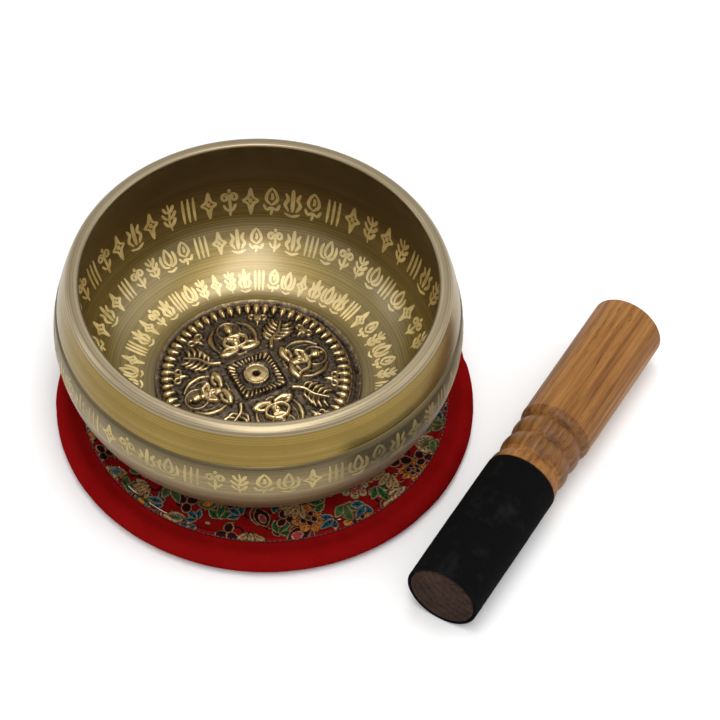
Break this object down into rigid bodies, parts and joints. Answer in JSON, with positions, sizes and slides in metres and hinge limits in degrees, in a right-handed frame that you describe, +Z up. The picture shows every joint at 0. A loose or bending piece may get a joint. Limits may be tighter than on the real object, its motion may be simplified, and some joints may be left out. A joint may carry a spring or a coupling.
{
  "type": "singing bowl set",
  "caption": "Round metal singing bowl with a relief medallion in its floor, on a flat round cushion, with a short turned wooden mallet that has a suede sleeve.",
  "frame": {"origin": "on the bowl's axis, at table level, on the cushion's flat underside", "axes": "+Z up along the bowl's axis, +Y towards the back, +X to the side that the mallet lies on"},
  "size_m": [0.2206, 0.1762, 0.0685],
  "materials": {
    "bowl_brass": "satin, turned, with etched ornament",
    "medallion_brass": "cast relief, dark patina with rubbed high spots",
    "brocade": "woven pattern on red",
    "red_cloth": "matt woven cloth",
    "wadding": "soft cotton wadding",
    "thread": "dark sewing thread",
    "mallet_wood": "turned, oiled, open grain",
    "suede": "matt suede"
  },
  "bodies": {
    "cushion": {"cushion_base_cloth": "red_cloth", "cushion_border": "red_cloth", "cushion_filling": "wadding", "cushion_stitching": "thread", "cushion_top_brocade": "brocade"},
    "bowl": {"bowl_shell": "bowl_brass", "base_medallion": "medallion_brass"},
    "mallet": {"mallet_handle": "mallet_wood", "mallet_suede": "suede"}
  },
  "joints": [
    {"name": "bowl_lift", "type": "slide", "parent": "cushion", "child": "bowl", "axis": [0, 0, 1], "range_m": [0, 0.1]},
    {"name": "mallet_lift", "type": "slide", "parent": "cushion", "child": "mallet", "axis": [0, 0, 1], "range_m": [0, 0.12]}
  ]
}
